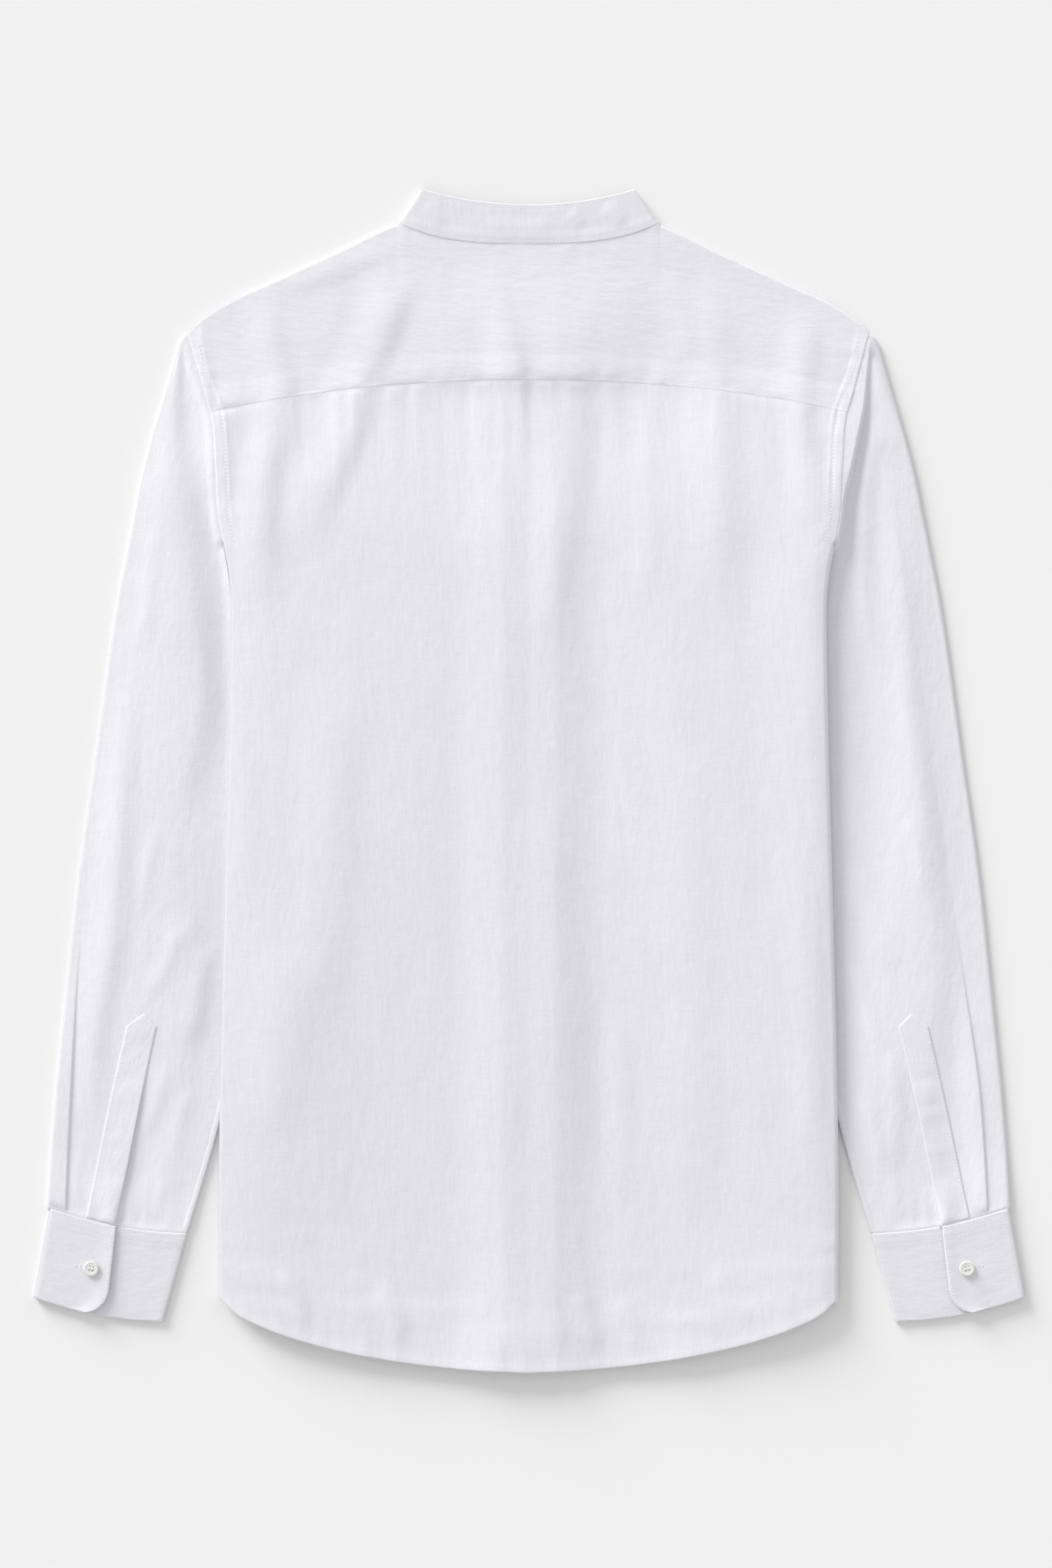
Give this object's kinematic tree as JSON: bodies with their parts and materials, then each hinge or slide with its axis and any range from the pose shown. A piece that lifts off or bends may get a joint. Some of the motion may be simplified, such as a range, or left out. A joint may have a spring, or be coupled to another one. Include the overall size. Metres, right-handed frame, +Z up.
{
  "type": "mandarin collar shirt",
  "caption": "Long-sleeved linen shirt with a band collar, back yoke, buttoned cuffs and a curved hem, laid flat with its back up.",
  "frame": {"origin": "on the surface that the shirt lies on, under the middle of its outline", "axes": "+Y from the hem to the collar, +X to the wearer's right (the back is up), +Z up out of the surface"},
  "size_m": [0.6804, 0.8079, 0.0131],
  "materials": {
    "linen": "white plain-weave linen, soft and matt, with slubs",
    "button_shell": "milky white, satin, four-hole"
  },
  "bodies": {
    "root": {"back": "linen", "yoke": "linen", "front_left": "linen", "front_right": "linen", "front_placket": "linen", "collar_band": "linen", "sleeve_left": "linen", "sleeve_right": "linen", "sleeve_placket_left": "linen", "sleeve_placket_right": "linen", "cuff_left": "linen", "cuff_right": "linen", "cuff_button_left": "button_shell", "cuff_button_right": "button_shell", "collar_button": "button_shell", "front_button_1": "button_shell", "front_button_2": "button_shell", "front_button_3": "button_shell", "front_button_4": "button_shell", "front_button_5": "button_shell", "front_button_6": "button_shell", "front_button_7": "button_shell"}
  },
  "joints": []
}
